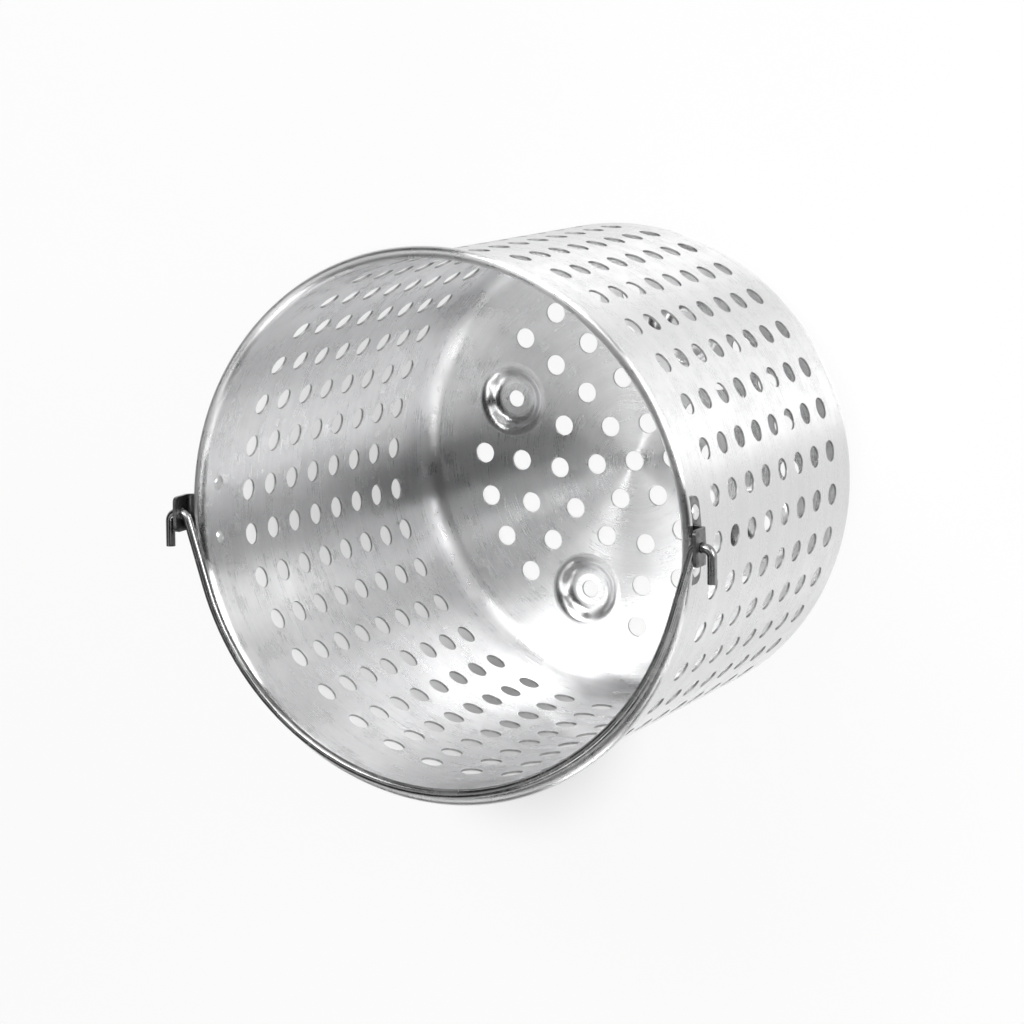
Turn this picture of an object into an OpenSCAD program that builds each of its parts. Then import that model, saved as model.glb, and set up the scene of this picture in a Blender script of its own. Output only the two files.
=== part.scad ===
// Perforated aluminium steamer basket: a drawn shell with a rolled rim and
// four pressed feet, two riveted ears and a wire bail that folds on the rim.
// Units are millimetres. The origin is the centre of the base, on the plane
// that the feet stand on. +Z is up, the ears lie on the X axis, and the bail
// is folded towards -Y.

/* [Shell] */
// Outside diameter of the wall, level with the middle of the rim
wall_top_d = 312; // [300:0.5:330]
// Outside diameter that the sloping wall would reach at the underside of the bottom
wall_base_d = 302; // [290:0.5:312]
// Height from the underside of the bottom to the middle of the rolled rim
shell_h = 262; // [255:0.5:300]
// Thickness of the sheet that the shell is drawn from
sheet_t = 1.4; // [1:0.1:1.8]
// Outside radius of the corner between wall and bottom
corner_r = 16; // [8:0.5:22]

/* [Rolled rim] */
// Diameter of the rolled rim
bead_d = 5.2; // [4.4:0.1:6.4]
// Distance from the wall's outer face to the middle of the rolled rim
bead_out = 3.4; // [2.8:0.1:4]

/* [Wall holes] */
// Diameter of the punched holes in wall and bottom
hole_d = 12.7; // [6:0.1:16]
// Number of columns of holes round the wall
hole_columns = 36; // [24:1:40]
// Number of rows of holes up the wall
hole_rows = 8; // [5:1:8]
// Distance from the middle of the rim down to the first row
first_row_drop = 48; // [42:0.5:56]
// Distance from one row to the next
row_pitch = 24.7; // [20:0.1:25.5]
// Turn of the whole hole pattern away from the ears, in degrees
pattern_turn = 7.5; // [0:0.5:10]

/* [Bottom holes] */
// Distance from one ring of holes to the next
ring_pitch = 26.5; // [25:0.1:28]
// Holes in the first ring; the second ring has twice as many
ring_holes = 6; // [4:1:7]
// Angle between neighbouring holes in the third ring, in degrees
third_ring_step = 20; // [16:0.5:21]
// Angle between neighbouring holes in the outer ring, in degrees
outer_ring_step = 15; // [10:0.5:16]

/* [Feet] */
// Radius of the circle that the four feet stand on
foot_circle_r = 92; // [88:0.5:95]
// Diameter of a foot at the level of the bottom
foot_d = 48; // [40:0.5:50]
// Diameter of the flat pad under a foot
foot_pad_d = 20; // [16:0.5:24]
// Depth that a foot is pressed down
foot_depth = 5; // [3:0.1:6]
// Diameter of the drain hole in a foot
foot_hole_d = 10.7; // [6:0.1:12]

/* [Ears] */
// Thickness of the ear's sheet
ear_t = 2; // [1.5:0.1:2.4]
// Length of the riveted strap, along the rim
strap_len = 50; // [48:0.5:60]
// Height of the riveted strap
strap_h = 14; // [12:0.5:16]
// Radius of the strap's corners
strap_corner_r = 5; // [2:0.5:6]
// Distance from the middle of the rim down to the rivets
rivet_drop = 14; // [13:0.5:18]
// Height of the jog's foot above the strap's top edge
jog_foot = 0.5; // [0:0.1:1]
// Width of the tongue that carries the bail
tongue_w = 21; // [16:0.5:22]
// Height of the tongue's top edge above the middle of the rim
tongue_rise = 12.3; // [11:0.1:16]
// Radius of the tongue's top corners
tongue_corner_r = 3; // [2:0.5:7]
// Radius of the fillets where the tongue leaves the strap
root_fillet_r = 2.5; // [1:0.5:3]
// Gap from the rolled rim out to the tongue's inner face
tongue_gap = 5.5; // [5.2:0.1:8]
// Radius of the ear's bends, on the middle of its sheet
ear_bend_r = 3.5; // [2.5:0.1:4]

/* [Rivets] */
// Distance between the two rivets of an ear
rivet_pitch = 32; // [31:0.5:38]
// Diameter of a rivet's shank
rivet_d = 4.8; // [3:0.1:5]
// Diameter of a rivet's head
rivet_head_d = 9; // [7:0.1:9.5]
// Height of a rivet's head
rivet_head_h = 1.8; // [1:0.1:2.5]

/* [Bail] */
// Diameter of the bail's wire
wire_d = 5.5; // [4.5:0.1:6]
// Lean of the bail's legs from the ears in to the bow, in degrees
leg_lean = 17.5; // [15:0.5:19]
// Reach of the bow from the hinge axis, on the middle of the wire
bow_reach = 153; // [151:0.5:156]
// Distance from the tongue's outer face to the middle of the hooked tail
tail_out = 6.4; // [6:0.1:8]
// Length of the tail from the hinge axis to its cut end
tail_len = 20; // [12:0.5:24]
// Radius of the hook's bends, on the middle of the wire
hook_bend_r = 5; // [4.6:0.1:5.4]
// Height of the hinge axis above the middle of the rim
pivot_rise = 5; // [4.4:0.1:5.6]
// Angle of the bail about the hinge, 0 folded on the rim, in degrees
bail_angle = 0; // [0:1:176]

/* [Fits] */
// Clearance between the folded bail and the rolled rim
bail_clear = 0.3; // [0.3:0.05:0.6]
// Clearance round the wire in the ear's hole
pivot_clear = 0.45; // [0.2:0.05:0.6]
// Clearance round a rivet's shank
rivet_clear = 0.1; // [0.05:0.05:0.2]
// Clearance between riveted faces
seat_gap = 0.05; // [0.02:0.01:0.1]

/* [Hidden] */

$fn = 96;
hole_fn = 32;
cut = 1;              // how far a cutting solid runs past what it cuts

// Heights
floor_z = foot_depth;                  // underside of the bottom
rim_z = floor_z + shell_h;             // middle of the rolled rim
pivot_z = rim_z + pivot_rise;
rivet_z = rim_z - rivet_drop;

// The wall's slope and its outer radius at any height
wall_top_r = wall_top_d / 2;
wall_base_r = wall_base_d / 2;
wall_slope = atan((wall_top_r - wall_base_r) / shell_h);
function wall_r(z) = wall_top_r - (rim_z - z) * tan(wall_slope);

// The middle of the corner's arc, tangent to the bottom and to the sloping wall
corner_z = floor_z + corner_r;
corner_x = wall_r(corner_z) - corner_r / cos(wall_slope);

// The rolled rim: a curl, and the larger arc that leads into it from the wall
bead_r = bead_d / 2;
bead_x = wall_top_r + bead_out;
lead_r = bead_out + sheet_t;           // inner face of the wall to the curl's crown
lead_z = rim_z + bead_r - lead_r;      // height at which the wall starts to roll
curl_end_angle = 215;

// Bottom holes repeat in four quarters, each about a middle line between two feet
quarters = 4;
quarter_middle = 15;
foot_angle = 60;

// A foot's pressed side is two equal arcs, tangent to each other
foot_run = (foot_d - foot_pad_d) / 2;
foot_arc_r = (foot_run * foot_run + foot_depth * foot_depth) / (4 * foot_depth);

// The ear's section runs up the wall, out past the rim and up again
strap_mid_r = seat_gap + ear_t / 2;
tongue_in_r = bead_x + bead_r + tongue_gap;
tongue_mid_r = tongue_in_r + ear_t / 2;
strap_low_z = rivet_z - strap_h / 2;
jog_low_z = strap_low_z + strap_h + jog_foot;
jog_high_z = rim_z - bead_r;
tongue_top_z = rim_z + tongue_rise;
jog_rise = jog_high_z - jog_low_z;
jog_out = tongue_mid_r - wall_r(jog_low_z) - strap_mid_r;
jog_lean = atan(jog_out / jog_rise);
low_turn = jog_lean - wall_slope;
low_cut = ear_bend_r * tan(low_turn / 2);      // what a bend takes off the straight runs beside it
high_cut = ear_bend_r * tan(jog_lean / 2);
ear_lap = ear_t / 4;                   // lap of a straight run's core into a bend
ear_sweep = 2 * asin((strap_len / 2 + cut) / wall_r(strap_low_z));

// Rivets stand square to the wall
rivet_angle = asin(rivet_pitch / 2 / wall_r(rivet_z));
rivet_hole_d = rivet_d + 2 * rivet_clear;
head_sphere_r = (pow(rivet_head_d / 2, 2) + pow(rivet_head_h, 2)) / (2 * rivet_head_h);
// A flat head lies on a round wall: its edge stays clear of the wall's curve
head_sag = wall_r(rivet_z) - sqrt(pow(wall_r(rivet_z), 2) - pow(rivet_head_d / 2, 2));

// The bail in its own plane: u runs out to the side, v away from the hinge axis
wire_r = wire_d / 2;
tail_u = tongue_in_r + ear_t + tail_out;
pivot_hole_d = wire_d + 2 * pivot_clear;
leg_u = tongue_in_r - wire_r;          // where the leg's line meets the hinge axis
bow_r = (leg_u * cos(leg_lean) - bow_reach * sin(leg_lean)) / (1 - sin(leg_lean));
bow_v = bow_reach - bow_r;             // middle of the bow's arc
leg_end = [bow_r * cos(leg_lean), bow_v + bow_r * sin(leg_lean)];
leg_turn = 90 - leg_lean;              // turn of the hook's inner bend, and of the bow to its middle
bow_overrun = 10;                      // turn of each half bow past the middle, where it is cut off
hook_in_u = leg_u + hook_bend_r * tan(leg_turn / 2);
leg_start = [hook_in_u, hook_bend_r] - hook_bend_r * [cos(leg_lean), sin(leg_lean)];

// Folded, the bail lies just clear of the rim: the steepest point of its leg sets the angle
fold_dist = bead_r + wire_r + bail_clear;
function leg_point(s) = leg_start + s * (leg_end - leg_start);
function fold_rise(p) = sqrt(max(0, pow(fold_dist, 2) - pow(norm(p) - bead_x, 2))) - pivot_rise;
fold_steps = 60;
fold_angle = max([for (i = [0:fold_steps]) let (p = leg_point(i / fold_steps)) asin(fold_rise(p) / p[1])]);

// Copies of children at equal angles round Z
module ring_of(count, radius, turn = 0) {
    for (i = [0:count - 1]) rotate([0, 0, turn + i * 360 / count]) translate([radius, 0, 0]) children();
}

// Punch that cuts through the bottom
module bottom_punch(d) {
    translate([0, 0, -cut]) cylinder(h = floor_z + sheet_t + 2 * cut, d = d, $fn = hole_fn);
}

// Half section of the drawn form without feet; inset moves it inwards by a sheet
module form_section(inset, top_z) {
    arc_r = corner_r - inset;
    polygon([[0, floor_z + inset], [corner_x, floor_z + inset], [corner_x, corner_z],
        [corner_x + arc_r * cos(wall_slope), corner_z - arc_r * sin(wall_slope)],
        [wall_r(top_z) - inset / cos(wall_slope), top_z], [0, top_z]]);
    // the corner's arc runs a little way behind the flat and the slope that it is tangent to
    translate([corner_x, corner_z]) intersection() {
        circle(r = arc_r);
        translate([-cut, -arc_r]) square(arc_r + cut);
    }
}

// Half section of the rolled rim, from the wall's outer and inner faces to the curl's end
module rim_section() {
    // lead from the wall to the crown
    intersection() {
        translate([bead_x, lead_z]) difference() {
            circle(r = lead_r);
            circle(r = lead_r - sheet_t);
        }
        translate([bead_x - lead_r - cut, lead_z]) square([lead_r + cut, lead_r + cut]);
    }
    // curl from the crown round to its tucked end
    translate([bead_x, rim_z]) difference() {
        circle(r = bead_r);
        circle(r = bead_r - sheet_t);
        polygon([[0, 0], [0, 2 * bead_r], [-2 * bead_r, 2 * bead_r],
            [-2 * bead_r, 2 * bead_r * cos(curl_end_angle) / abs(sin(curl_end_angle))]]);
    }
}

// Half section of a foot, filled down to the sheet's upper face (drop 0) or lower face
module foot_section(drop) {
    pad_r = foot_pad_d / 2;
    foot_r = foot_d / 2;
    up = [pad_r, floor_z + sheet_t - foot_depth + foot_arc_r];
    down = [foot_r, floor_z + sheet_t - foot_arc_r];
    low = floor_z + sheet_t - foot_depth - drop;
    top = floor_z + sheet_t + (drop == 0 ? cut : -sheet_t / 2);
    intersection() {
        translate([0, low]) square([foot_r, top - low]);
        union() {
            translate([0, low]) square([pad_r, top - low]);
            intersection() {
                translate(up) circle(r = foot_arc_r + drop);
                polygon([up, up - [0, 3 * foot_arc_r], up + 2 * (down - up)]);
            }
            difference() {
                polygon([up, down, [foot_r, up[1]]]);
                translate(down) circle(r = foot_arc_r - drop);
            }
        }
    }
}

module at_feet() {
    ring_of(quarters, foot_circle_r, pattern_turn + foot_angle) children();
}

module wall_holes() {
    for (row = [0:hole_rows - 1], column = [0:hole_columns - 1])
        rotate([0, 0, pattern_turn + column * 360 / hole_columns])
            translate([corner_x - corner_r, 0, rim_z - first_row_drop - row * row_pitch])
                rotate([0, 90, 0])
                    cylinder(h = wall_top_r, d = hole_d, $fn = hole_fn);
}

module bottom_holes() {
    bottom_punch(hole_d);
    ring_of(ring_holes, ring_pitch, pattern_turn) bottom_punch(hole_d);
    ring_of(2 * ring_holes, 2 * ring_pitch, pattern_turn) bottom_punch(hole_d);
    for (side = [-1, 0, 1])
        ring_of(quarters, 3 * ring_pitch, pattern_turn + quarter_middle + side * third_ring_step)
            bottom_punch(hole_d);
    for (side = [-1.5, -0.5, 0.5, 1.5])
        ring_of(quarters, 4 * ring_pitch, pattern_turn + quarter_middle + side * outer_ring_step)
            bottom_punch(hole_d);
    at_feet() bottom_punch(foot_hole_d);
}

// Places children on the wall's outer face at each rivet: +X there points straight out
module at_rivet(side, rear) {
    rotate([0, 0, (side > 0 ? 0 : 180) + (rear ? 1 : -1) * side * rivet_angle])
        translate([wall_r(rivet_z), 0, rivet_z]) rotate([0, wall_slope, 0]) children();
}

module rivet_bore() {
    rotate([0, 90, 0]) cylinder(h = 6 * sheet_t + 2 * ear_t, d = rivet_hole_d, center = true);
}

module basket_shell() {
    color([0.80, 0.81, 0.82]) difference() {
        union() {
            rotate_extrude() form_section(0, lead_z);
            at_feet() rotate_extrude() foot_section(sheet_t);
            rotate_extrude() rim_section();
        }
        rotate_extrude() form_section(sheet_t, lead_z + cut);
        at_feet() rotate_extrude() foot_section(0);
        wall_holes();
        bottom_holes();
        for (side = [-1, 1], rear = [false, true]) at_rivet(side, rear) rivet_bore();
    }
}

// Sheet seen edge on that runs up from the origin; children go on from its end.
// Its core laps into the bends beside it, so that run and bend join at any size.
module strip_run(length) {
    translate([-ear_t / 2, 0]) square([ear_t, length]);
    translate([-ear_t / 4, -ear_lap]) square([ear_t / 2, length + 2 * ear_lap]);
    translate([0, length]) children();
}
// Sheet that bends from up towards -X; children go on from its end
module strip_bend(turn) {
    reach = ear_bend_r + ear_t;
    translate([-ear_bend_r, 0]) {
        intersection() {
            difference() {
                circle(r = ear_bend_r + ear_t / 2);
                circle(r = ear_bend_r - ear_t / 2);
            }
            square(reach);
            rotate(turn) translate([0, -reach]) square(reach);
        }
        rotate(turn) translate([ear_bend_r, 0]) children();
    }
}
module ear_strip() {
    foot_z = strap_low_z - cut;
    translate([wall_r(foot_z) + strap_mid_r, foot_z]) rotate(-wall_slope)
        strip_run((jog_low_z - foot_z) / cos(wall_slope) - low_cut) mirror([1, 0]) strip_bend(low_turn)
            strip_run(norm([jog_out, jog_rise]) - low_cut - high_cut) mirror([1, 0]) strip_bend(jog_lean)
                strip_run(tongue_top_z + cut - jog_high_z - high_cut);
}

// A rectangle with round corners, from its low left corner
module round_plate(size, r) {
    translate([r, 0]) square([size[0] - 2 * r, size[1]]);
    translate([0, r]) square([size[0], size[1] - 2 * r]);
    for (x = [r, size[0] - r], y = [r, size[1] - r]) translate([x, y]) circle(r = r);
}

// The blank's outline seen from outside: the strap, the tongue and the fillets between
module ear_outline() {
    strap_top = strap_low_z + strap_h;
    translate([-strap_len / 2, strap_low_z]) round_plate([strap_len, strap_h], strap_corner_r);
    translate([-tongue_w / 2, rivet_z]) round_plate([tongue_w, tongue_top_z - rivet_z], tongue_corner_r);
    for (side = [-1, 1]) scale([side, 1]) difference() {
        translate([tongue_w / 2 - cut, strap_top - cut]) square(root_fillet_r + cut);
        translate([tongue_w / 2 + root_fillet_r, strap_top + root_fillet_r]) circle(r = root_fillet_r);
    }
}

module ear(side) {
    color([0.56, 0.57, 0.58]) rotate([0, 0, side > 0 ? 0 : 180]) difference() {
        intersection() {
            rotate([0, 0, -ear_sweep / 2]) rotate_extrude(angle = ear_sweep) ear_strip();
            rotate([90, 0, 90]) linear_extrude(height = tongue_in_r + ear_t + cut) ear_outline();
        }
        translate([tongue_in_r - cut, 0, pivot_z]) rotate([0, 90, 0])
            cylinder(h = ear_t + 2 * cut, d = pivot_hole_d);
        for (rear = [false, true]) at_rivet(1, rear) rivet_bore();
    }
}

module ear_right() { ear(1); }
module ear_left() { ear(-1); }

// Half section of a rivet along its axis: the outer head sits on the strap, the inner on the wall
module rivet_section() {
    outer = ear_t + 2 * seat_gap;
    inner = -sheet_t - head_sag - seat_gap;
    translate([0, inner]) square([rivet_d / 2, outer - inner]);
    translate([0, outer]) head_section();
    translate([0, inner]) mirror([0, 1]) head_section();
}
module head_section() {
    intersection() {
        translate([0, rivet_head_h - head_sphere_r]) circle(r = head_sphere_r);
        square([rivet_head_d / 2, rivet_head_h]);
    }
}
module rivet(side, rear) {
    color([0.74, 0.75, 0.76]) at_rivet(side, rear) rotate([0, 90, 0]) rotate_extrude() rivet_section();
}

module rivet_right_front() { rivet(1, false); }
module rivet_right_rear() { rivet(1, true); }
module rivet_left_front() { rivet(-1, true); }
module rivet_left_rear() { rivet(-1, false); }

// Wire that runs towards -Y from the origin; children go on from its end
module wire_run(length) {
    rotate([90, 0, 0]) cylinder(h = length, d = wire_d);
    translate([0, -length, 0]) children();
}
// Wire that turns from -Y towards +X; children go on from its end
module wire_bend(r, turn) {
    translate([r, 0, 0]) rotate([0, 0, turn]) {
        rotate([0, 0, 180 - turn]) wire_arc(r, turn);
        translate([-r, 0, 0]) children();
    }
}
module wire_arc(r, sweep) {
    rotate_extrude(angle = sweep) translate([r, 0]) circle(d = wire_d);
}

// Half of the bail: the bow, cut at its middle, the leg, the hook through the ear and the tail
module bail_half() {
    intersection() {
        translate([0, bow_v, 0]) rotate([0, 0, leg_lean]) {
            wire_arc(bow_r, leg_turn + bow_overrun);
            translate([bow_r, 0, 0])
                wire_run(norm(leg_end - leg_start)) wire_bend(hook_bend_r, leg_turn)
                    wire_run(tail_u - hook_bend_r - hook_in_u) wire_bend(hook_bend_r, 90)
                        wire_run(tail_len - hook_bend_r);
        }
        translate([0, -wire_d, -wire_d]) cube([tail_u + wire_d, bow_reach + 2 * wire_d, 2 * wire_d]);
    }
}

module bail() {
    color([0.66, 0.67, 0.68]) translate([0, 0, pivot_z]) rotate([-fold_angle - bail_angle, 0, 0])
        mirror([0, 1, 0]) {
            bail_half();
            mirror([1, 0, 0]) bail_half();
        }
}

basket_shell();
ear_right();
ear_left();
rivet_right_front();
rivet_right_rear();
rivet_left_front();
rivet_left_rear();
bail();
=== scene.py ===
from math import asin, atan, cos, hypot, pi, radians, sin, sqrt, tan

import bmesh
import bpy
from mathutils import Matrix, Vector
from mathutils.geometry import delaunay_2d_cdt


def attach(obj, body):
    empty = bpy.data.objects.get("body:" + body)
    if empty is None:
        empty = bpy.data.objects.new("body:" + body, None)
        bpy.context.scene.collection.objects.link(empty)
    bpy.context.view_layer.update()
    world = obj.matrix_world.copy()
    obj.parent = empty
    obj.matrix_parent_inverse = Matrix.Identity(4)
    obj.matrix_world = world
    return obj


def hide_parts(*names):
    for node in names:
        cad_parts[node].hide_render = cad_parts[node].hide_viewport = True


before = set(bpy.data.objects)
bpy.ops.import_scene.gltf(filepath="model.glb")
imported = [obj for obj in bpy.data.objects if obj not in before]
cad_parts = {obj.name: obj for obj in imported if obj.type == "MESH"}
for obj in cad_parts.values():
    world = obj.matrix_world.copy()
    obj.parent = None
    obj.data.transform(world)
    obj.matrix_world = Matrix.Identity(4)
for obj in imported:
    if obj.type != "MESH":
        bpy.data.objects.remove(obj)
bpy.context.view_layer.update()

# The shell is one disc of soft aluminium, drawn into a pail with a round corner, punched with
# rows of holes, dished at four feet and rolled outwards into a bead at the rim. It is made
# here as the sheet's inner face; the sheet's thickness is then added towards the outside.
MM = 0.001
sheet_t = 1.4 * MM
rim_z = 267 * MM
floor_z = 5 * MM                        # underside of the bottom, between the feet
wall_top_r = 156 * MM
wall_base_r = 151 * MM
wall_slope = atan((wall_top_r - wall_base_r) / (rim_z - floor_z))
corner_r = 16 * MM
bead_r = 2.6 * MM
bead_x = wall_top_r + 3.4 * MM
bead_end = -145                         # degrees at which the curl of the bead stops
hole_r = 6.35 * MM
drain_r = 5.35 * MM
hole_columns = 36
hole_rows = 8
row_pitch = 24.7 * MM
first_row_z = rim_z - 48 * MM
pattern_turn = radians(7.5)
lip_w = 0.5 * MM                        # strip of sheet beside a hole that its burr has rounded
cell_steps = 8                          # mesh steps along each side of the cell round a hole
cell_points = 4 * cell_steps
cell_rings = (0, 0.06, 0.3, 0.62, 1)    # shares of the way from a hole to its cell's side
round_steps = hole_columns * cell_steps
corner_steps = 14
wall_foot_steps = 4
wall_top_steps = 8
lead_steps = 10                         # along the arc that leads from the wall into the bead
bead_steps = 30
weld_gap = 0.002 * MM
satin_slot, burnished_slot, cut_slot = range(3)


def wall_r(z):
    """Outer radius of the wall."""
    return wall_top_r - (rim_z - z) * tan(wall_slope)


def wall_in_r(z):
    """Inner radius of the wall."""
    return wall_r(z) - sheet_t / cos(wall_slope)


corner_z = floor_z + corner_r
corner_x = wall_r(corner_z) - corner_r / cos(wall_slope)
floor_top = floor_z + sheet_t


def new_piece(name, bm, mat_list):
    """An object made of a finished bmesh."""
    data = bpy.data.meshes.new(name)
    bm.to_mesh(data)
    bm.free()
    for polygon in data.polygons:
        polygon.use_smooth = True
    for mat in mat_list:
        data.materials.append(mat)
    obj = bpy.data.objects.new(name, data)
    bpy.context.scene.collection.objects.link(obj)
    return obj


def at_angle(radius, angle, z):
    return Vector((radius * cos(angle), radius * sin(angle), z))


def bridge(bm, rings):
    """Quads between neighbouring rings of vertices."""
    faces = []
    for low, high in zip(rings, rings[1:]):
        for i in range(len(low)):
            j = (i + 1) % len(low)
            faces.append(bm.faces.new((low[i], low[j], high[j], high[i])))
    return faces


def revolve(bm, section):
    """Rings of the sheet's inner face, one for each (radius, height) of the section."""
    angles = [pattern_turn + 2 * pi * i / round_steps for i in range(round_steps)]
    rings = [[bm.verts.new(at_angle(r, a, z)) for a in angles] for r, z in section]
    bridge(bm, rings)


def spread(start, end, steps):
    """Evenly spaced values, both ends included."""
    return [start + (end - start) * i / steps for i in range(steps + 1)]


def arc(middle, radius, start, end, steps):
    """Points of a section on an arc, between two angles in degrees."""
    turns = [radians(turn) for turn in spread(start, end, steps)]
    return [(middle[0] + radius * cos(t), middle[1] + radius * sin(t)) for t in turns]


def wall_run(low, high, steps):
    """Points of a section up the wall."""
    return [(wall_in_r(z), z) for z in spread(low, high, steps)]


def wall_cell(bm, angle, z, lip):
    """The sheet round one hole of the wall, in rings from the hole out to the cell's square side."""
    half = cell_steps // 2
    half_turn = pi / hole_columns
    edge = []
    hole = []
    for i in range(cell_points):
        side, step = divmod(i + half, cell_steps)
        k = step / half - 1
        u, v = ((1, k), (-k, 1), (-1, -k), (k, -1))[side % 4]
        edge.append((u * half_turn, v * row_pitch / 2))
        turn = 2 * pi * i / cell_points
        hole.append((asin(hole_r * cos(turn) / wall_in_r(z)), hole_r * sin(turn)))
    rings = []
    for share in cell_rings:
        ring = []
        for (a0, h0), (a1, h1) in zip(hole, edge):
            h = z + h0 + share * (h1 - h0)
            vert = bm.verts.new(at_angle(wall_in_r(h), angle + a0 + share * (a1 - a0), h))
            vert[lip] = 1.0 if share == 0 else 0.0
            ring.append(vert)
        rings.append(ring)
    bridge(bm, rings)


# The holes and feet of the bottom, as they lie on it. Each has a collar of mesh rings, and
# a net of triangles fills the sheet between the collars.
foot_circle_r = 92 * MM
foot_r = 24 * MM
foot_pad_r = 10 * MM
foot_depth = 5 * MM
foot_arc_r = ((foot_r - foot_pad_r) ** 2 + foot_depth ** 2) / (4 * foot_depth)
ring_pitch = 26.5 * MM
collar_r = hole_r + 2.2 * MM
foot_edge_r = foot_r + 1.5 * MM
hole_rings = [hole_r, hole_r + lip_w, collar_r]
hole_steps = 32
pad_rings = [drain_r, drain_r + lip_w, 7.5 * MM, 9 * MM]
slope_rings = spread(foot_pad_r, foot_r, 14)
foot_rings = pad_rings + slope_rings + [foot_edge_r]
foot_steps = 64
net_pitch = 5 * MM
net_margin = 2 * MM
same_place = 1e-7                       # metres within which the net takes two points for one


def on_bottom(radius, degrees_list):
    """Places on a circle of the bottom, turned with the pattern of the wall's holes."""
    return [(radius * cos(pattern_turn + radians(d)), radius * sin(pattern_turn + radians(d)))
            for d in degrees_list]


quarter = range(0, 360, 90)
bottom_holes = (on_bottom(0, [0]) + on_bottom(ring_pitch, range(0, 360, 60))
                + on_bottom(2 * ring_pitch, range(0, 360, 30))
                + on_bottom(3 * ring_pitch, [q + d for q in quarter for d in (-5, 15, 35)])
                + on_bottom(4 * ring_pitch, [q + d for q in quarter for d in (-7.5, 7.5, 22.5, 37.5)]))
feet = on_bottom(foot_circle_r, [q + 60 for q in quarter])


def foot_drop(rho):
    """How far the bottom is pressed down at a distance from the middle of a foot."""
    if rho <= foot_pad_r:
        return foot_depth
    if rho >= foot_r:
        return 0.0
    if rho < (foot_pad_r + foot_r) / 2:
        return foot_depth - foot_arc_r + sqrt(foot_arc_r ** 2 - (rho - foot_pad_r) ** 2)
    return foot_arc_r - sqrt(foot_arc_r ** 2 - (foot_r - rho) ** 2)


def collar(bm, middle, radii, steps, lip):
    """Rings round a hole of the bottom, pressed down where the hole is in a foot."""
    in_foot = middle in feet
    rings = []
    for radius in radii:
        drop = foot_drop(radius) if in_foot else 0.0
        ring = []
        for i in range(steps):
            turn = 2 * pi * i / steps
            vert = bm.verts.new((middle[0] + radius * cos(turn), middle[1] + radius * sin(turn),
                                 floor_top - drop))
            vert[lip] = 1.0 if radius == radii[0] else 0.0
            ring.append(vert)
        rings.append(ring)
    for i, face in enumerate(bridge(bm, rings)):
        on_slope = in_foot and foot_pad_r <= radii[i // steps] < foot_r
        face.material_index = burnished_slot if on_slope else satin_slot
    return [(v.co.x, v.co.y) for v in rings[-1]]


def bottom_sheet(bm, lip):
    """The flat sheet of the bottom between its holes, feet and outer edge."""
    loops = [collar(bm, h, hole_rings, hole_steps, lip) for h in bottom_holes]
    loops += [collar(bm, f, foot_rings, foot_steps, lip) for f in feet]
    loops.append([(corner_x * cos(pattern_turn + 2 * pi * i / round_steps),
                   corner_x * sin(pattern_turn + 2 * pi * i / round_steps)) for i in range(round_steps)])
    gaps = [(h, collar_r) for h in bottom_holes] + [(f, foot_edge_r) for f in feet]

    def inside(x, y, margin):
        clear = all(hypot(x - m[0], y - m[1]) > r + margin for m, r in gaps)
        return clear and hypot(x, y) < corner_x - margin

    points = [p for loop in loops for p in loop]
    edges = []
    start = 0
    for loop in loops:
        edges += [(start + i, start + (i + 1) % len(loop)) for i in range(len(loop))]
        start += len(loop)
    reach = int(corner_x / net_pitch) + 1
    for row in range(-reach, reach + 1):
        for column in range(-reach, reach + 1):
            x = (column + 0.5 * (row % 2)) * net_pitch
            y = row * net_pitch * sqrt(0.75)
            if inside(x, y, net_margin):
                points.append((x, y))
    found = delaunay_2d_cdt([Vector(p) for p in points], edges, [], 0, same_place)
    verts = [bm.verts.new((p.x, p.y, floor_top)) for p in found[0]]
    for face in found[2]:
        x = sum(found[0][i].x for i in face) / 3
        y = sum(found[0][i].y for i in face) / 3
        if inside(x, y, 0):
            bm.faces.new([verts[i] for i in face])
    loose = [v for v in verts if not v.link_faces]
    bmesh.ops.delete(bm, geom=loose, context="VERTS")


def shell_mesh():
    """The whole inner face: bottom, corner, rows of holes, and the wall's top with its bead."""
    bm = bmesh.new()
    lip = bm.verts.layers.float.new("lip")
    bottom_sheet(bm, lip)
    low_z = first_row_z - (hole_rows - 0.5) * row_pitch
    high_z = first_row_z + row_pitch / 2
    section = arc((corner_x, corner_z), corner_r - sheet_t, -90, -wall_slope * 180 / pi, corner_steps)
    section += wall_run(corner_z, low_z, wall_foot_steps)[1:]
    revolve(bm, section)
    for row in range(hole_rows):
        for column in range(hole_columns):
            wall_cell(bm, pattern_turn + 2 * pi * column / hole_columns,
                      first_row_z - row * row_pitch, lip)
    lead_r = bead_x - wall_top_r + sheet_t
    lead_z = rim_z + bead_r - lead_r
    section = wall_run(high_z, lead_z, wall_top_steps)[:-1]
    section += arc((bead_x, lead_z), lead_r, 180, 90, lead_steps)
    section += arc((bead_x, rim_z), bead_r, 90, bead_end, bead_steps)[1:]
    revolve(bm, section)
    bmesh.ops.remove_doubles(bm, verts=bm.verts, dist=weld_gap)
    bmesh.ops.recalc_face_normals(bm, faces=bm.faces)
    middle = min(bm.faces, key=lambda f: f.calc_center_median().xy.length)
    if middle.normal.z < 0:
        bmesh.ops.reverse_faces(bm, faces=bm.faces)
    return bm


def put(tree, kind, ins=None, **settings):
    """A shader node with its settings, and its inputs given as values or linked sockets."""
    made = tree.nodes.new(kind)
    for key, value in settings.items():
        setattr(made, key, value)
    for key, value in (ins or {}).items():
        if isinstance(value, bpy.types.NodeSocket):
            tree.links.new(value, made.inputs[key])
        else:
            made.inputs[key].default_value = value
    return made


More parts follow.
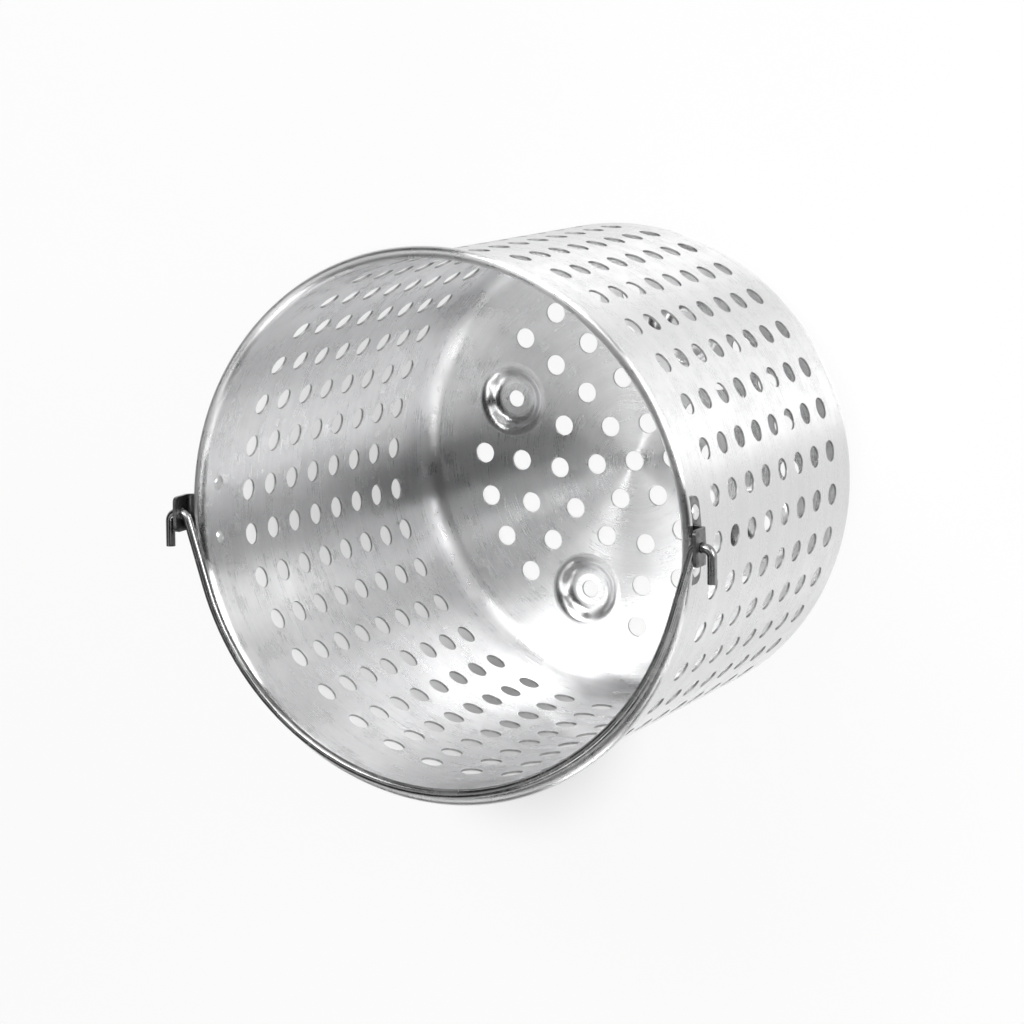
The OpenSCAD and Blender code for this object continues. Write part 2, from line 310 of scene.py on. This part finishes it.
def new_group(name, inputs, outputs):
    """An empty shader node group with its sockets, its input node's outputs and its output node."""
    group = bpy.data.node_groups.new(name, "ShaderNodeTree")
    for socket in inputs:
        group.interface.new_socket(socket, in_out="INPUT", socket_type="NodeSocketFloat")
    for socket in outputs:
        group.interface.new_socket(socket, in_out="OUTPUT", socket_type="NodeSocketFloat")
    return group, put(group, "NodeGroupInput").outputs, put(group, "NodeGroupOutput")


def spun_lines_group():
    """Lines left by spinning: they run round the axis and change only along the section."""
    group, given, result = new_group("spun_lines", ("Fine", "Broad"), ("Lines", "Bands"))
    place = put(group, "ShaderNodeTexCoord").outputs["Object"]
    height = put(group, "ShaderNodeSeparateXYZ", {0: place}).outputs["Z"]
    flat = put(group, "ShaderNodeVectorMath", {0: place, 1: (1, 1, 0)}, operation="MULTIPLY").outputs[0]
    reach = put(group, "ShaderNodeVectorMath", {0: flat}, operation="LENGTH").outputs["Value"]
    round_way = put(group, "ShaderNodeVectorMath", {0: flat}, operation="NORMALIZE").outputs[0]
    along = put(group, "ShaderNodeMath", {0: height, 1: reach}, operation="SUBTRACT").outputs[0]
    for density, output, detail, change_round in (("Fine", "Lines", 4, 1.5), ("Broad", "Bands", 2, 0.7)):
        scaled = put(group, "ShaderNodeMath", {0: along, 1: given[density]}, operation="MULTIPLY")
        axis = put(group, "ShaderNodeCombineXYZ", {"Z": scaled.outputs[0]})
        spot = put(group, "ShaderNodeVectorMath", {0: round_way, 1: (change_round,) * 3, 2: axis.outputs[0]},
                   operation="MULTIPLY_ADD")
        noise = put(group, "ShaderNodeTexNoise",
                    {"Vector": spot.outputs[0], "Scale": 1.0, "Detail": detail, "Roughness": 0.6})
        group.links.new(noise.outputs["Fac"], result.inputs[output])
    return group


scratch_bend = (0.02, 0.02, 0.02)       # metres by which the patches bend the scratches
scratch_w = 0.012                       # as a share of the distance between scratches


def handling_group():
    """Marks of use: soft dull patches where the metal was wiped, and thin bright scratches."""
    group, given, result = new_group("handling_marks", ("Patch Density", "Scratch Density"),
                                     ("Patches", "Scratches"))
    place = put(group, "ShaderNodeTexCoord").outputs["Object"]
    patches = put(group, "ShaderNodeTexNoise",
                  {"Vector": place, "Scale": given["Patch Density"], "Detail": 5.0, "Roughness": 0.62})
    group.links.new(patches.outputs["Fac"], result.inputs["Patches"])
    bent = put(group, "ShaderNodeVectorMath",
               {0: patches.outputs["Color"], 1: scratch_bend, 2: place}, operation="MULTIPLY_ADD")
    cells = put(group, "ShaderNodeTexVoronoi",
                {"Vector": bent.outputs[0], "Scale": given["Scratch Density"]}, feature="DISTANCE_TO_EDGE")
    thin = put(group, "ShaderNodeMapRange",
               {"Value": cells.outputs["Distance"], "From Min": 0.0, "From Max": scratch_w,
                "To Min": 1.0, "To Max": 0.0})
    group.links.new(thin.outputs[0], result.inputs["Scratches"])
    return group


spun_lines = spun_lines_group()
handling_marks = handling_group()
wide_noise = (0.3, 0.7)                 # the part of a noise's span that is stretched to a range
narrow_noise = (0.35, 0.65)
line_density = 1600                     # changes to a metre of section
band_density = 150
line_tones = (0.96, 1.03)
band_tones = (0.97, 1.02)
patch_tones = (0.93, 1.03)
patch_dulling = (0.9, 1.12)
line_relief = 0.04
line_depth = 0.12 * MM
sheet_patch_density = 60
dent_density = 22
dent_depth = 1 * MM
sheet_colour = (0.86, 0.86, 0.865)
burr_colour = (0.6, 0.6, 0.6, 1)
quarter_turn = 0.25                     # as the shader counts: it sets the sheen across the lines


def stretch(tree, value, span, ends):
    """Takes a value from a span to the range between two ends."""
    return put(tree, "ShaderNodeMapRange", {"Value": value, "From Min": span[0], "From Max": span[1],
                                            "To Min": ends[0], "To Max": ends[1]}).outputs[0]


def product(tree, *values):
    result = values[0]
    for value in values[1:]:
        result = put(tree, "ShaderNodeMath", {0: result, 1: value}, operation="MULTIPLY").outputs[0]
    return result


def grey(tree, tone):
    return put(tree, "ShaderNodeCombineColor", {"Red": tone, "Green": tone, "Blue": tone}).outputs[0]


def bare_metal(name):
    """A metal material, with its node tree and its shader."""
    mat = bpy.data.materials.new(name)
    mat.use_nodes = True
    tree = mat.node_tree
    shader = tree.nodes["Principled BSDF"]
    shader.inputs["Metallic"].default_value = 1.0
    return mat, tree, shader


def spun_aluminium(name, anisotropy, roughs, denting):
    """Satin aluminium with spinning lines, dull patches and shallow dents."""
    mat, tree, shader = bare_metal(name)
    shader.inputs["Anisotropic"].default_value = anisotropy
    shader.inputs["Anisotropic Rotation"].default_value = quarter_turn
    tangent = put(tree, "ShaderNodeTangent", direction_type="RADIAL", axis="Z")
    tree.links.new(tangent.outputs[0], shader.inputs["Tangent"])
    spun = put(tree, "ShaderNodeGroup", node_tree=spun_lines)
    spun.inputs["Fine"].default_value = line_density
    spun.inputs["Broad"].default_value = band_density
    marks = put(tree, "ShaderNodeGroup", node_tree=handling_marks)
    marks.inputs["Patch Density"].default_value = sheet_patch_density
    lines = spun.outputs["Lines"]
    patches = marks.outputs["Patches"]
    tone = product(tree, stretch(tree, lines, wide_noise, line_tones),
                   stretch(tree, spun.outputs["Bands"], wide_noise, band_tones),
                   stretch(tree, patches, wide_noise, patch_tones))
    paint = put(tree, "ShaderNodeVectorMath", {0: sheet_colour, "Scale": tone}, operation="SCALE")
    lip = put(tree, "ShaderNodeAttribute", attribute_name="lip").outputs["Fac"]
    edge = put(tree, "ShaderNodeMix", {"Factor": lip, "A": paint.outputs[0], "B": burr_colour},
               data_type="RGBA")
    tree.links.new(edge.outputs["Result"], shader.inputs["Base Color"])
    rough = product(tree, stretch(tree, lines, wide_noise, roughs),
                    stretch(tree, patches, wide_noise, patch_dulling))
    tree.links.new(rough, shader.inputs["Roughness"])
    fine = put(tree, "ShaderNodeBump", {"Height": lines, "Strength": line_relief, "Distance": line_depth})
    place = put(tree, "ShaderNodeTexCoord").outputs["Object"]
    waves = put(tree, "ShaderNodeTexNoise", {"Vector": place, "Scale": dent_density, "Detail": 1.0})
    dents = put(tree, "ShaderNodeBump", {"Height": waves.outputs["Fac"], "Strength": denting,
                                         "Distance": dent_depth, "Normal": fine.outputs[0]})
    tree.links.new(dents.outputs[0], shader.inputs["Normal"])
    return mat


def worn_metal(name, patch_density, tones, roughs, relief=None, scratches=None):
    """Bare metal whose tone, dullness and relief follow the patches left by handling.

    relief is a strength and a depth, and scratches are a density and the tone they add.
    """
    mat, tree, shader = bare_metal(name)
    marks = put(tree, "ShaderNodeGroup", node_tree=handling_marks)
    marks.inputs["Patch Density"].default_value = patch_density
    patches = marks.outputs["Patches"]
    tone = stretch(tree, patches, narrow_noise, tones)
    if scratches:
        marks.inputs["Scratch Density"].default_value = scratches[0]
        tone = put(tree, "ShaderNodeMath", {0: marks.outputs["Scratches"], 1: scratches[1], 2: tone},
                   operation="MULTIPLY_ADD").outputs[0]
    tree.links.new(grey(tree, tone), shader.inputs["Base Color"])
    tree.links.new(stretch(tree, patches, narrow_noise, roughs), shader.inputs["Roughness"])
    if relief:
        bump = put(tree, "ShaderNodeBump", {"Height": patches, "Strength": relief[0],
                                            "Distance": relief[1]})
        tree.links.new(bump.outputs[0], shader.inputs["Normal"])
    return mat


def broken_edges(obj, edge):
    """Rounds a piece's sharp edges a little."""
    bevel = obj.modifiers.new("edges", "BEVEL")
    bevel.width = edge
    bevel.segments = 2
    bevel.limit_method = "ANGLE"
    bevel.angle_limit = radians(50)
    weighted = obj.modifiers.new("shading", "WEIGHTED_NORMAL")
    weighted.keep_sharp = False


# Spun all over, burnished by the punch on the slopes of the feet, and torn, matt and a little
# dirty on the cut edges of the holes.
satin = spun_aluminium("spun_aluminium", 1.0, (0.26, 0.31), 0.2)
burnished = spun_aluminium("pressed_aluminium", 0.2, (0.2, 0.26), 0.1)
sheared = worn_metal("sheared_edge", 400, (0.3, 0.5), (0.5, 0.65))
shell = new_piece("perforated_shell", shell_mesh(), [satin, burnished, sheared])
solid = shell.modifiers.new("sheet", "SOLIDIFY")
solid.material_offset_rim = cut_slot
solid.thickness = sheet_t
solid.offset = -1
solid.use_even_offset = True
broken_edges(shell, 0.25 * MM)
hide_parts("basket_shell")
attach(shell, "basket")


# The ears are T-shaped blanks of plated steel sheet: the strap lies on the wall, and the
# tongue is jogged out past the bead and stands above it with the hole for the bail.
def finish_node(name, mat, edge):
    """Gives a solid of the frame its material and breaks its sharp edges."""
    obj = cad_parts[name]
    obj.data.materials.clear()
    obj.data.materials.append(mat)
    weld = obj.modifiers.new("weld", "WELD")
    weld.merge_threshold = 0.001 * MM
    broken_edges(obj, edge)


# The ears' tone is painted shade: the steel is made far darker than plated steel is, to stand for the shade
# that lies in and round the ears.
plated_steel = worn_metal("plated_steel", 160, (0.1, 0.24), (0.4, 0.26), relief=(0.3, 0.1 * MM),
                          scratches=(120, 0.12))
finish_node("ear_right", plated_steel, 0.35 * MM)
finish_node("ear_left", plated_steel, 0.35 * MM)


# The rivets are soft aluminium with low round heads, two through each ear's strap. They are
# set cold, so their heads are a little dented and duller than the sheet.
soft_rivet = worn_metal("rivet_aluminium", 300, (0.66, 0.84), (0.25, 0.4), relief=(0.4, 0.2 * MM))
for side in ("right", "left"):
    for end in ("front", "rear"):
        finish_node("rivet_%s_%s" % (side, end), soft_rivet, 0.15 * MM)


# The bail is one bright drawn wire: a half round bow with two legs, each hooked out through
# its ear and cut off square a little way below it. Its tone is set dark as painted shade,
# for the dark surroundings that the wire mirrors.
drawn_wire_painted_shade = worn_metal("bail_wire", 90, (0.22, 0.32), (0.22, 0.3))
finish_node("bail", drawn_wire_painted_shade, 0.7 * MM)


# The floor is plain and pale. What looks at it or is mirrored from it sees it almost white;
# the rest of it is matt and takes the lamps' own shadow. A soft painted shadow is drawn beside the
# basket on the side away from the key, and none under it, where the bottom's holes look down.
# The painted shadow shows through the wall's holes, and the wall mirrors it as a dark patch.
floor_half = 8
# Two painted shadow spots, a broad one and a deep one: grey on the floor's white, cast by no lamp.
shade_middle = (-145 * MM, -50 * MM, 0)
shade_r = 100 * MM
shade_depth = 0.35
deep_shade_middle = (-90 * MM, -165 * MM, 0)
deep_shade_r = 10 * MM
deep_shade_depth = 0.4
soft_edge = 90 * MM
clear_r = 110 * MM
clear_edge = 18 * MM
white_share = 0.9


def near_spot(tree, place, middle, radius, edge):
    """1 within the radius of a spot on the floor, 0 beyond its soft edge."""
    gap = put(tree, "ShaderNodeVectorMath", {0: place, 1: middle}, operation="DISTANCE").outputs["Value"]
    return put(tree, "ShaderNodeMapRange",
               {"Value": gap, "From Min": radius, "From Max": radius + edge, "To Min": 1.0, "To Max": 0.0},
               interpolation_type="SMOOTHSTEP").outputs[0]


def pale_floor():
    mat = bpy.data.materials.new("pale_floor")
    mat.use_nodes = True
    tree = mat.node_tree
    matt = tree.nodes["Principled BSDF"]
    matt.inputs["Base Color"].default_value = (0.8, 0.8, 0.8, 1)
    matt.inputs["Roughness"].default_value = 0.9
    place = put(tree, "ShaderNodeTexCoord").outputs["Object"]
    under = near_spot(tree, place, (0, 0, 0), clear_r, clear_edge)
    outer = put(tree, "ShaderNodeMath", {0: 1.0, 1: under}, operation="SUBTRACT").outputs[0]
    tone = 1.0
    # Each spot darkens the floor's white: painted shadow.
    for middle, radius, depth in ((shade_middle, shade_r, shade_depth), (deep_shade_middle, deep_shade_r, deep_shade_depth)):
        shade = product(tree, near_spot(tree, place, middle, radius, soft_edge), outer)
        tone = put(tree, "ShaderNodeMath", {0: shade, 1: -depth, 2: tone},
                   operation="MULTIPLY_ADD", use_clamp=True).outputs[0]
    rays = put(tree, "ShaderNodeLightPath").outputs
    seen = put(tree, "ShaderNodeMath", {0: rays["Is Camera Ray"], 1: rays["Is Glossy Ray"]},
               operation="MAXIMUM").outputs[0]
    seen = put(tree, "ShaderNodeMath", {0: seen, 1: rays["Is Transmission Ray"]},
               operation="MAXIMUM").outputs[0]
    share = product(tree, seen, white_share)
    white = put(tree, "ShaderNodeEmission", {"Color": grey(tree, tone), "Strength": 1.0})
    mix = put(tree, "ShaderNodeMixShader", {0: share, 1: matt.outputs[0], 2: white.outputs[0]})
    tree.links.new(mix.outputs[0], tree.nodes["Material Output"].inputs["Surface"])
    return mat


floor_bm = bmesh.new()
bmesh.ops.create_grid(floor_bm, x_segments=1, y_segments=1, size=floor_half)
floor = new_piece("floor", floor_bm, [pale_floor()])


# The light is a plain studio: a room that is white up to the horizon and dark overhead, and
# soft boxes all round, each given by its compass angle, elevation, width, height and power.
# The key boxes on the +Y side give the fan of light on the spun bottom and light the feet.
haze_top = 0.05
dark_from = 0.12
lamp_reach = 2.6
lamp_aim = Vector((0, 0, 0.15))
room_white = (1, 1, 1, 1)
room_dark = (0, 0, 0, 1)
world = bpy.data.worlds.new("studio")
bpy.context.scene.world = world
world.use_nodes = True
sky = world.node_tree
sky_way = put(sky, "ShaderNodeTexCoord").outputs["Generated"]
sky_height = put(sky, "ShaderNodeSeparateXYZ", {0: sky_way}).outputs["Z"]
ramp = put(sky, "ShaderNodeValToRGB", {"Fac": sky_height})
heights = ramp.color_ramp.elements
heights[0].color = room_white
heights[1].color = room_dark
heights.new(haze_top).color = room_white
heights.new(dark_from).color = room_dark
sky.links.new(ramp.outputs["Color"], sky.nodes["Background"].inputs["Color"])


def soft_box(name, compass, elevation, width, height, power):
    data = bpy.data.lights.new(name, "AREA")
    data.shape = "RECTANGLE"
    data.size = width
    data.size_y = height
    data.energy = power
    obj = bpy.data.objects.new(name, data)
    bpy.context.scene.collection.objects.link(obj)
    way = at_angle(cos(radians(elevation)), radians(compass), sin(radians(elevation)))
    obj.matrix_world = (Matrix.Translation(way * lamp_reach + lamp_aim)
                        @ (-way).to_track_quat("-Z", "Y").to_matrix().to_4x4())
    obj.visible_camera = False


soft_box("key", 108, 58, 0.70, 0.75, 20)
soft_box("key_near", 72, 58, 0.70, 0.75, 5.5)
soft_box("key_wide", 95, 52, 1.60, 1.00, 6)
soft_box("key_low", 85, 30, 1.20, 1.30, 16)
soft_box("right_low", 20, 24, 0.85, 0.75, 31)
soft_box("right_rear_low", 40, 24, 0.85, 0.75, 15)
soft_box("right_high", 36, 58, 0.70, 0.75, 2.5)
soft_box("left_high", 180, 58, 0.70, 0.75, 2)
soft_box("front_left_high", 216, 58, 0.70, 0.75, 2)
soft_box("front", 270, 41, 0.70, 0.75, 8.5)
soft_box("front_high", 288, 58, 0.70, 0.75, 4)
soft_box("front_right_low", 320, 24, 0.85, 0.75, 6)
soft_box("front_right_high", 324, 58, 0.70, 0.75, 4)


# The camera looks into the basket as the photograph does, rolled so that the bail hangs down.
# Its place, turn and lens were fitted to the rim, the bottom and the rows of holes.
camera_place = (1.09161, 0.39211, 2.25181)
camera_right = Vector((0.886965, -0.023649, -0.461231))
camera_up = Vector((-0.056390, 0.985670, -0.158979))
camera_back = Vector((0.458381, 0.167018, 0.872922))
camera_data = bpy.data.cameras.new("camera")
camera_data.sensor_width = 36
camera_data.lens = 141.36
camera = bpy.data.objects.new("camera", camera_data)
camera.matrix_world = (Matrix.Translation(camera_place)
                       @ Matrix((camera_right, camera_up, camera_back)).transposed().to_4x4())
bpy.context.scene.collection.objects.link(camera)
bpy.context.scene.camera = camera
bpy.context.scene.view_settings.view_transform = "Standard"
